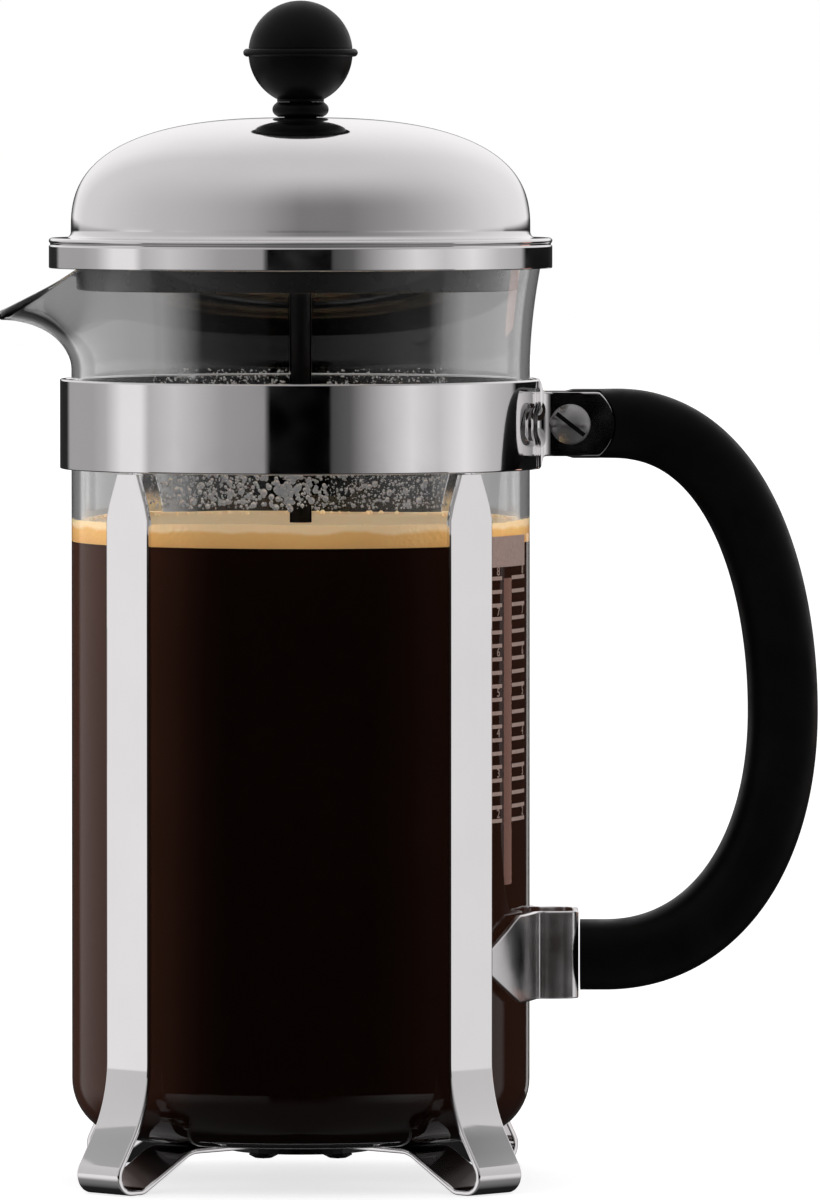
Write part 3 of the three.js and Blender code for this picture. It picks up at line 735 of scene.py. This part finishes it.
def make_dome():
    """The chrome dome, its ledge and its skirt, with a groove under the ledge's rolled edge."""
    radius, sheet, top = DOME["radius"], DOME["sheet"], DOME["top"] - DOME["base"]
    skirt, low, ledge = SKIRT["radius"], SKIRT["low"], SKIRT["top"]
    edge, fillet, groove_deep = 0.6, 1.2, 0.3
    groove, bottom = ledge - 2 * edge - 0.35, skirt - groove_deep
    outline = dome_arch(radius, top)[::-1] + dome_arch(radius - sheet, top - sheet)
    outline += [(radius - sheet, ledge - sheet), (skirt - sheet, ledge - sheet)]
    outline += [(skirt - sheet, low), (skirt, low)]
    outline += [(skirt, groove - 0.1), (bottom, groove + 0.1), (bottom, groove + 0.25)]
    outline += arc(skirt - edge, ledge - edge, edge, -50, 90, 14)
    outline += arc(radius + fillet, ledge + fillet, fillet, -90, -180, 8)
    turned_part("lid_dome", outline, CHROME, "lid", 192)


def make_lid_collar():
    """The black ring inside the lid, with a flange that rests on the glass."""
    low, top = low_of("lid_collar"), high_of("lid_collar")
    inner, outer, flange = LID_COLLAR["inner"], LID_COLLAR["outer"], LID_COLLAR["flange"]
    shelf = top - LID_COLLAR["flange_high"]
    outline = [(inner, low), (outer, low), (outer + 0.3, shelf - 1), (outer + 1.1, shelf + 0.1)]
    outline += [(flange, shelf + 0.1), (flange, top), (inner, top)]
    turned_part("lid_collar", outline, LID_PLASTIC, "lid", 160)


def make_bush():
    """The rod's guide: a neck through the dome, with a round bead on top of it."""
    bead, bore, neck = right_of("lid_bush"), 2.7, 3.3
    low, seat, top = low_of("lid_bush"), DOME["top"] + 0.05, high_of("lid_bush")
    outline = [(bore, low), (neck, low), (neck, seat), (bead - 1.2, seat)]
    outline += arc(bead - 1.5, seat + 1.6, 1.5, -60, 60, 12) + [(4.9, top), (bore, top)]
    turned_part("lid_bush", outline, KNOB_PLASTIC, "lid_core", 96)


# ---- Knob and plunger ----
def make_knob():
    """The ball in two halves that meet over a thin ring. A hair's gap parts the pieces."""
    radius, centre, half = KNOB["radius"], KNOB["centre"], KNOB["ring_high"] / 2
    neck, bore, hair = KNOB["neck"], KNOB["bore"], 0.02
    low = centre + half + hair
    start = math.degrees(math.asin((low - centre) / radius))
    outline = [(0, low)] + arc(0, centre, radius, start, 90, 40)
    turned_part("knob_cap", outline, KNOB_PLASTIC, "plunger")

    foot = high_of("lid_bush") + hair
    start, end = -math.degrees(math.acos(neck / radius)), -math.degrees(math.asin(half / radius))
    outline = [(bore, foot), (neck, foot)] + arc(0, centre, radius, start, end, 32)
    outline += arc(KNOB["ring"] - half, centre, half, -90, 90, 12) + [(bore, centre + half)]
    turned_part("knob_base", outline, KNOB_PLASTIC, "plunger")


def make_rod():
    radius, low, top = right_of("plunger_rod"), low_of("plunger_rod"), high_of("plunger_rod")
    outline = [(0, low), (radius, low), (radius, top - 1), (radius - 0.6, top), (0, top)]
    turned_part("plunger_rod", outline, ROD_STEEL, "plunger", 48)


def make_filter_spring():
    """Fine wire wound round and round the filter's edge."""
    circle, winding, wire, turns = 44.05, 1.3, 0.28, 150
    steps = turns * 14
    up = np.array([0, 0, 1])
    section = np.linspace(0, 2 * math.pi, 5, endpoint=False)
    rings = []
    for i in range(steps):
        a, b = 2 * math.pi * i / steps, 2 * math.pi * turns * i / steps
        away, onward = np.array([math.cos(a), math.sin(a), 0]), np.array([-math.sin(a), math.cos(a), 0])
        out = away * math.cos(b) + up * math.sin(b)
        centre = away * circle + out * winding + up * middle_of("filter_spring")
        rings.append([centre + wire * (out * math.cos(c) + onward * math.sin(c)) for c in section])
    piece = mesh_piece("filter_spring_fine", *skin(rings, closed_along=True), STEEL, "plunger", sharp=80)
    stand_for(piece, "filter_spring")


# ---- Coffee ----
def crema_profile(a):
    low, top = COFFEE_TOP + 0.02, CREMA_TOP
    lift = 0.16 * math.sin(3 * a + 0.7) + 0.08 * math.sin(7 * a + 2) + 0.04 * math.sin(17 * a)
    profile = [(0.01, low), (INSIDE, low), (INSIDE, top + lift)]
    return profile + [(INSIDE - 0.5, top + lift - 0.35), (INSIDE - 2, top - 0.7), (0.01, top - 0.9)]


def make_coffee():
    """Black coffee, crema with a wavy edge on it, and bubbles where the crema meets the glass."""
    base, corner = GLASS["bottom"], GLASS["corner"]
    floor = base + GLASS["floor"] - 0.03
    curve = arc(GLASS["radius"] - corner, base + corner, INSIDE + corner - GLASS["radius"], -76, 0, 14)
    outline = [(0, floor)] + [p for p in curve if p[1] >= floor] + [(INSIDE, COFFEE_TOP), (0, COFFEE_TOP)]
    turned("coffee", outline, COFFEE, "frame", 160, 0.02)

    mesh_piece("crema", *spun(crema_profile, 192), CREMA, "frame")

    rng = np.random.default_rng(5)
    bubbles = []
    for _ in range(170):
        size = 0.2 + 0.35 * rng.random() ** 3
        spot = INSIDE - 0.1 - size - 2.5 * rng.random() ** 3
        bubbles.append((2 * math.pi * rng.random(), spot, CREMA_TOP - 0.35, size, 1.0))
    beads("crema_bubbles", bubbles, CREMA)


def beads(name, spots, material):
    """Small beads as one piece. Each is (angle, distance from the axis, height, size, flattening)."""
    work = bmesh.new()
    for angle, radius, height, size, flat in spots:
        made = bmesh.ops.create_icosphere(work, subdivisions=2 if size > 0.3 else 1, radius=1)
        away = Vector((math.cos(angle), math.sin(angle), 0))
        side = Vector((-math.sin(angle), math.cos(angle), 0))
        centre = away * radius + Vector((0, 0, height))
        for v in made["verts"]:
            x, y, z = v.co
            v.co = centre + away * x * size * flat + side * y * size + Vector((0, 0, z * size * 1.1))
    points = [tuple(v.co) for v in work.verts]
    work.verts.ensure_lookup_table()
    faces = [tuple(v.index for v in f.verts) for f in work.faces]
    work.free()
    mesh_piece(name, points, faces, material, "frame", sharp=180)


def make_condensation():
    """Drops on the inside of the glass: large ones above the coffee, and a fine mist above the collar.

    Each zone has its middle in radians from the front, its half width in degrees, two heights, how many
    drops it holds, and their smallest and largest radius.
    """
    rng = np.random.default_rng(11)
    front = math.radians(-90)
    wall = GLASS["radius"] - GLASS["wall"]
    neck = GLASS["rim_top"] - GLASS["flare_start"]
    zones = (
        (-0.32, 19, 142.4, 149.8, 130, 0.35, 0.85),
        (0.1, 30, 142.4, 149.8, 80, 0.3, 0.7),
        (-0.45, 16, 142.0, 149.8, 420, 0.13, 0.33),
        (0.4, 18, 142.0, 149.8, 620, 0.13, 0.33),
        (-0.37, 19, 166.4, 170.8, 420, 0.12, 0.28),
        (0.42, 17, 166.4, 170.8, 300, 0.12, 0.28),
        (0, 6, 142.0, 149.8, 70, 0.3, 0.75),
        (0, 5, 142.0, 149.8, 90, 0.13, 0.33),
    )
    drops = []
    for middle, spread, low, high, count, smallest, largest in zones:
        crowd = 1.7 if low > COLLAR["low"] else 1.0
        for _ in range(count):
            size = smallest + (largest - smallest) * rng.random() ** 2.2
            height = low + (high - low) * rng.random() ** crowd
            angle = front + middle + math.radians(spread) * (2 * rng.random() - 1)
            flare = GLASS["flare"] * max(0, (height - GLASS["flare_start"]) / neck) ** 1.8
            drops.append((angle, wall + flare - 0.03 - 0.42 * size, height, size, 0.42))
    beads("condensation", drops, WATER)


def make_scale_marks():
    """Printed level marks on the glass beside the handle: two ladders of ticks with plain numbers."""
    radius, ink = GLASS["radius"] + 0.03, 0.03
    middle = math.radians(-24)
    points, faces = [], []

    def wrap(x, z, lift=0.0):
        a = middle + x / radius
        return ((radius + lift) * math.cos(a), (radius + lift) * math.sin(a), z)

    def add(new_points, new_faces):
        start = len(points)
        points.extend(new_points)
        faces.extend(tuple(start + i for i in face) for face in new_faces)

    def tick(x0, x1, z, thick):
        corners = ((-thick / 2, 0), (-thick / 2, ink), (thick / 2, ink), (thick / 2, 0))
        add(*skin([[wrap(x, z + up, lift) for up, lift in corners] for x in np.linspace(x0, x1, 5)]))

    def number(text, x, z, size):
        curve = bpy.data.curves.new("number", "FONT")
        curve.body = text
        curve.size = size
        curve.extrude = ink / 2
        curve.align_x = "CENTER"
        curve.align_y = "CENTER"
        holder = placed("number", curve)
        flat = evaluated(holder)
        add([wrap(x + v.co.x, z + v.co.y, v.co.z + ink / 2) for v in flat.vertices],
            [tuple(face.vertices) for face in flat.polygons])
        bpy.data.objects.remove(holder)

    lowest, spacing, rows = 76.5, 2.8, 19
    for row in range(rows):
        z = lowest + row * spacing
        for column, half in ((-6.7, 2.5), (4.6, 4.2)):
            tick(column - half, column + half, z, 0.8)
            if row % 3 == 0:
                number(str(2 + row // 3), column + half - 1.5, z + 1.4, 2.6)
    tick(-9.4, 9, 132.4, 6.4)
    mesh_piece("scale_marks", points, faces, INK, "frame")


# ---- Pieces that stay as they are in the frame ----
def finish_frame_pieces():
    """The small parts keep the frame's own mesh, with a material and softened edges."""
    rivets = [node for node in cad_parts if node.startswith("leg_rivet")]
    kept = (
        (CHROME, ["clamp_nut"]),
        (BLACK_STEEL, ["base_hub"] + rivets),
        (STEEL, ["clamp_washer", "lid_nut", "spiral_plate", "filter_plate", "filter_nut"]),
        (WOVEN, ["filter_mesh"]),
        (BRASS, ["knob_insert"]),
    )
    for material, names in kept:
        for name in names:
            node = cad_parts[name]
            node.data.materials.clear()
            node.data.materials.append(material)
            smooth(node.data, 30)
            bevel = node.modifiers.new("soft edges", "BEVEL")
            bevel.width = 0.12 * MM
            bevel.segments = 2
            bevel.limit_method = "ANGLE"
            bevel.angle_limit = math.radians(40)
            bevel.harden_normals = True


# ---- Studio ----
# What the chrome mirrors: brightness by the angle round the press, 0 in front and 90 to the right.
ROUND_LOW = [
    (-180, 0.02), (-150, 0.02), (-145, 0.36), (-118, 0.36), (-107, 0.44), (-95, 0.8), (-82, 0.82),
    (-77, 0.46), (-62, 0.6), (-36, 0.33), (-16, 0.28), (-15.2, 0.0), (14.2, 0.0), (15, 0.06), (24, 0.1),
    (40, 0.44), (55, 0.74), (70, 0.57), (86, 0.8), (104, 0.52), (122, 0.4), (126, 0.004), (180, 0.01),
]
ROUND_HIGH = [
    (-180, 0.95), (-160, 0.88), (-140, 0.68), (-120, 0.66), (-82, 0.53), (-52, 0.45), (-25, 0.36),
    (0, 0.2), (25, 0.2), (52, 0.31), (82, 0.5), (105, 0.66), (126, 0.76), (150, 0.82), (165, 0.9),
    (180, 0.95),
]
ROUND_BELOW = [
    (-180, 0.01), (-130, 0.015), (-95, 0.2), (-15, 0.12),
    (15, 0.12), (95, 0.2), (130, 0.015), (180, 0.01),
]
# A dark line low down behind the press, which outlines the chrome.
ROUND_OUTLINE = [(-180, 1.0), (-170, 1.0), (-158, 0.0), (158, 0.0), (170, 1.0), (180, 1.0)]
# What shows through the glass: pale behind the press, with a lamp behind each shoulder.
ROUND_THROUGH = [
    (-180, 0.27), (-152, 0.27), (-147, 1.15), (-106, 1.15), (-98, 0.8), (-82, 0.82), (-77, 0.46),
    (-62, 0.6), (-36, 0.2), (-16, 0.12), (-15.2, 0.0), (14.2, 0.0), (15, 0.04), (24, 0.08), (40, 0.3),
    (55, 0.7), (86, 0.8), (104, 1.15), (147, 1.15), (152, 0.24), (180, 0.27),
]
CEILING = 0.6
OUTLINE = 0.03


def make_world():
    """White to the camera. What is mirrored or shows through the glass comes from the bands above."""
    world = bpy.data.worlds.new("studio")
    bpy.context.scene.world = world
    graph = Graph(world)
    graph.nodes.clear()
    pale = lambda level: (level, level * 0.985, level * 0.99)

    def round_ramp(stops):
        return graph.ramp(angle, *((degrees / 360 + 0.5, pale(level)) for degrees, level in stops))

    def blend(share, first, second):
        mix = graph.node("Mix")
        mix.data_type = "RGBA"
        for index, value in ((0, share), (6, first), (7, second)):
            graph.feed(mix.inputs[index], value)
        return mix.outputs[2]

    def fade(first, second, height, start, end):
        """Goes from the first colour to the second as the height, in degrees, goes from start to end."""
        share = graph.node("MapRange", From_Min=start, From_Max=end, Value=height)
        share.interpolation_type = "SMOOTHSTEP"
        return blend(share.outputs["Result"], first, second)

    def background(color):
        return graph.node("Background", Color=color).outputs[0]

    count = graph.math
    x, y, z = graph.node("SeparateXYZ", Vector=graph.node("TexCoord").outputs["Generated"]).outputs
    angle = count("MULTIPLY_ADD", count("ARCTAN2", x, count("MULTIPLY", y, -1)), 0.5 / math.pi, 0.5)
    elevation = count("MULTIPLY", count("ARCSINE", z), 180 / math.pi)
    depth = count("MULTIPLY", elevation, -1)
    rays = graph.node("LightPath").outputs
    levels = []
    for low in (ROUND_LOW, ROUND_THROUGH):
        color = fade(round_ramp(low), round_ramp(ROUND_HIGH), elevation, -0.5, 0.6)
        color = fade(color, (*pale(CEILING), 1), elevation, 15, 80)
        if low is ROUND_LOW:
            outlined = blend(round_ramp(ROUND_OUTLINE), color, (OUTLINE, OUTLINE, OUTLINE, 1))
            color = fade(outlined, color, elevation, 2, 7)
        levels.append(fade(color, round_ramp(ROUND_BELOW), depth, 8, 25))
    mix = graph.node("MixShader", Fac=rays["Is Camera Ray"])
    graph.feed(mix.inputs[1], background(blend(rays["Is Transmission Ray"], *levels)))
    graph.feed(mix.inputs[2], background((1, 1, 1, 1)))
    graph.node("OutputWorld", Surface=mix.outputs[0])


def make_floor():
    mesh = bpy.data.meshes.new("floor")
    work = bmesh.new()
    bmesh.ops.create_circle(work, cap_ends=True, segments=96, radius=8)
    work.to_mesh(mesh)
    work.free()
    floor = placed("floor", mesh)
    paint = Paint("pale_floor").set(Specular_IOR_Level=0.0)
    paint.set(Emission_Color=(1, 1, 1, 1), Emission_Strength=0.72)
    paint.tint(paint.noise(3, 2), (0.8, 0.8, 0.8), (0.78, 0.78, 0.78))
    floor.data.materials.append(paint.material)
    floor.visible_glossy = False
    floor.visible_transmission = False


def make_card(name, points, material, seen_by="glossy", place=(0, 0, 0)):
    """A card that only one kind of ray sees. points are its lower edge, then its upper edge."""
    half = len(points) // 2
    mesh = bpy.data.meshes.new(name)
    faces = [(i, i + 1, half + i + 1, half + i) for i in range(half - 1)]
    mesh.from_pydata([tuple(p) for p in points], [], faces)
    mesh.materials.append(material)
    card = placed(name, mesh)
    card.location = place
    for kind in ("camera", "diffuse", "glossy", "transmission", "volume_scatter", "shadow"):
        setattr(card, f"visible_{kind}", kind == seen_by)


def make_dark_card():
    """A narrow black card with soft sides, close behind the press: it darkens the glass's middle."""
    half, high, behind = 0.055, 0.27, 0.13
    soft_start, soft_end = 0.027, 0.037
    paint = Paint("card_cloth").set(Specular_IOR_Level=0.0, Base_Color=(0.0, 0.0, 0.0, 1))
    away = paint.math("ABSOLUTE", paint.axis("X"))
    paint.set(Alpha=paint.level(away, 1.0, 0.0, soft_start, soft_end))
    points = [(x, 0, z) for z in (0, high) for x in (-half, half)]
    make_card("dark_card", points, paint.material, "transmission", (AXIS_X * MM + 0.0025, behind, 0))


def make_inner_light(name, place, size, energy, pieces):
    """A soft lamp for what is inside the glass alone, which the glass would otherwise shade."""
    data = bpy.data.lights.new(name, "AREA")
    data.shape = "RECTANGLE"
    data.size, data.size_y = size
    data.energy = energy
    lamp = placed(name, data)
    lamp.location = place
    lamp.rotation_mode = "QUATERNION"
    target = Vector((AXIS_X * MM, 0, place[2] * 0.6 if place[2] < 0.2 else COFFEE_TOP * MM))
    lamp.rotation_quaternion = (target - lamp.location).to_track_quat("-Z", "Y")
    lamp.visible_glossy = lamp.visible_transmission = lamp.visible_camera = False
    lit = bpy.data.collections.new(f"lit_by_{name}")
    for piece in pieces:
        lit.objects.link(bpy.data.objects[piece])
    lamp.light_linking.receiver_collection = lit
    lamp.light_linking.blocker_collection = lit


def make_inner_lights():
    foam = ("crema", "crema_bubbles")
    make_inner_light("foam_front", (-0.2, -1.2, 0.3), (1.2, 0.4), 8, foam)
    make_inner_light("drop_light", (-0.15, -0.7, 0.9), (0.4, 0.3), 9, ("condensation",))
    far, turn = 0.7, math.radians(110)
    for side, name, energy in ((-1, "left", 22), (1, "right", 8)):
        place = (AXIS_X * MM + side * far * math.sin(turn), -far * math.cos(turn), 0.28)
        make_inner_light(f"coffee_{name}", place, (0.15, 0.3), energy, ("coffee",))
        make_inner_light(f"foam_{name}", place, (0.15, 0.3), 6, foam)


def card_paint(name, low_color, high_color, start, end):
    """A plain glow that goes from one colour to the other between two heights."""
    paint = Paint(name).set(Specular_IOR_Level=0.0, Base_Color=(0.0, 0.0, 0.0, 1), Emission_Strength=1.0)
    share = paint.level(paint.axis("Z"), 0.0, 1.0, start, end)
    return paint.set(Emission_Color=paint.ramp(share, (0.0, low_color), (1.0, high_color))).material


def make_screens():
    """Dark and bright screens a metre off and low down, each between two angles round the press."""
    screens = (
        ("dark_screen", -76, 74, -0.12, 0.108, (0.012, 0.009, 0.008)),
        ("warm_line", 122, 131, 0.0, 0.088, (1.4, 0.8, 0.66)),
        ("pale_line", 157, 165, -0.12, 0.1, (0.5, 0.49, 0.49)),
    )
    for name, start, end, low, high, color in screens:
        ring = np.radians(np.linspace(start, end, 31))
        points = [(AXIS_X * MM + math.sin(a), -math.cos(a), z) for z in (low, high) for a in ring]
        make_card(name, points, card_paint(name, color, color, 0.0, 0.1))


def make_leg_cards():
    """A grey card above each splayed front leg, which the leg mirrors."""
    distance, half_wide, half_high = 0.13, 0.014, 0.019
    for side, low_level, high_level in ((-1, 0.38, 0.3), (1, 0.34, 0.02)):
        name = f"leg_card{side}"
        foot = Vector((AXIS_X * MM + side * 0.0385, -0.0385, 0.02))
        aim = Vector((side * 0.77, 0.227, 0.598)).normalized()
        across = aim.cross(Vector((0, 0, 1))).normalized() * half_wide
        rise = across.cross(aim).normalized() * half_high
        centre = foot + aim * distance
        points = [centre + across * s + rise * t for t in (-1, 1) for s in (-1, 1)]
        heights = [p.z for p in points]
        glow = card_paint(name, (low_level,) * 3, (high_level,) * 3, min(heights), max(heights))
        make_card(name, points, glow)


def make_camera():
    """Nearly level, a little above the middle, from well back on the -Y side."""
    data = bpy.data.cameras.new("camera")
    camera = placed("camera", data)
    target = Vector((0, 0, 0.1214))
    camera.location = (0, -2.6, 0.229)
    camera.rotation_mode = "QUATERNION"
    camera.rotation_quaternion = (target - camera.location).to_track_quat("-Z", "Y")
    data.sensor_width = 36
    data.lens = 372.5
    data.clip_start, data.clip_end = 0.05, 50
    bpy.context.scene.camera = camera


make_beaker()
make_collar()
make_legs()
make_bracket()
make_handle()
make_screw()
make_dome()
make_lid_collar()
make_bush()
make_knob()
make_rod()
make_filter_spring()
make_coffee()
make_condensation()
make_scale_marks()
finish_frame_pieces()
make_world()
make_floor()
make_dark_card()
make_inner_lights()
make_screens()
make_leg_cards()
make_camera()
bpy.context.scene.view_settings.view_transform = "Standard"
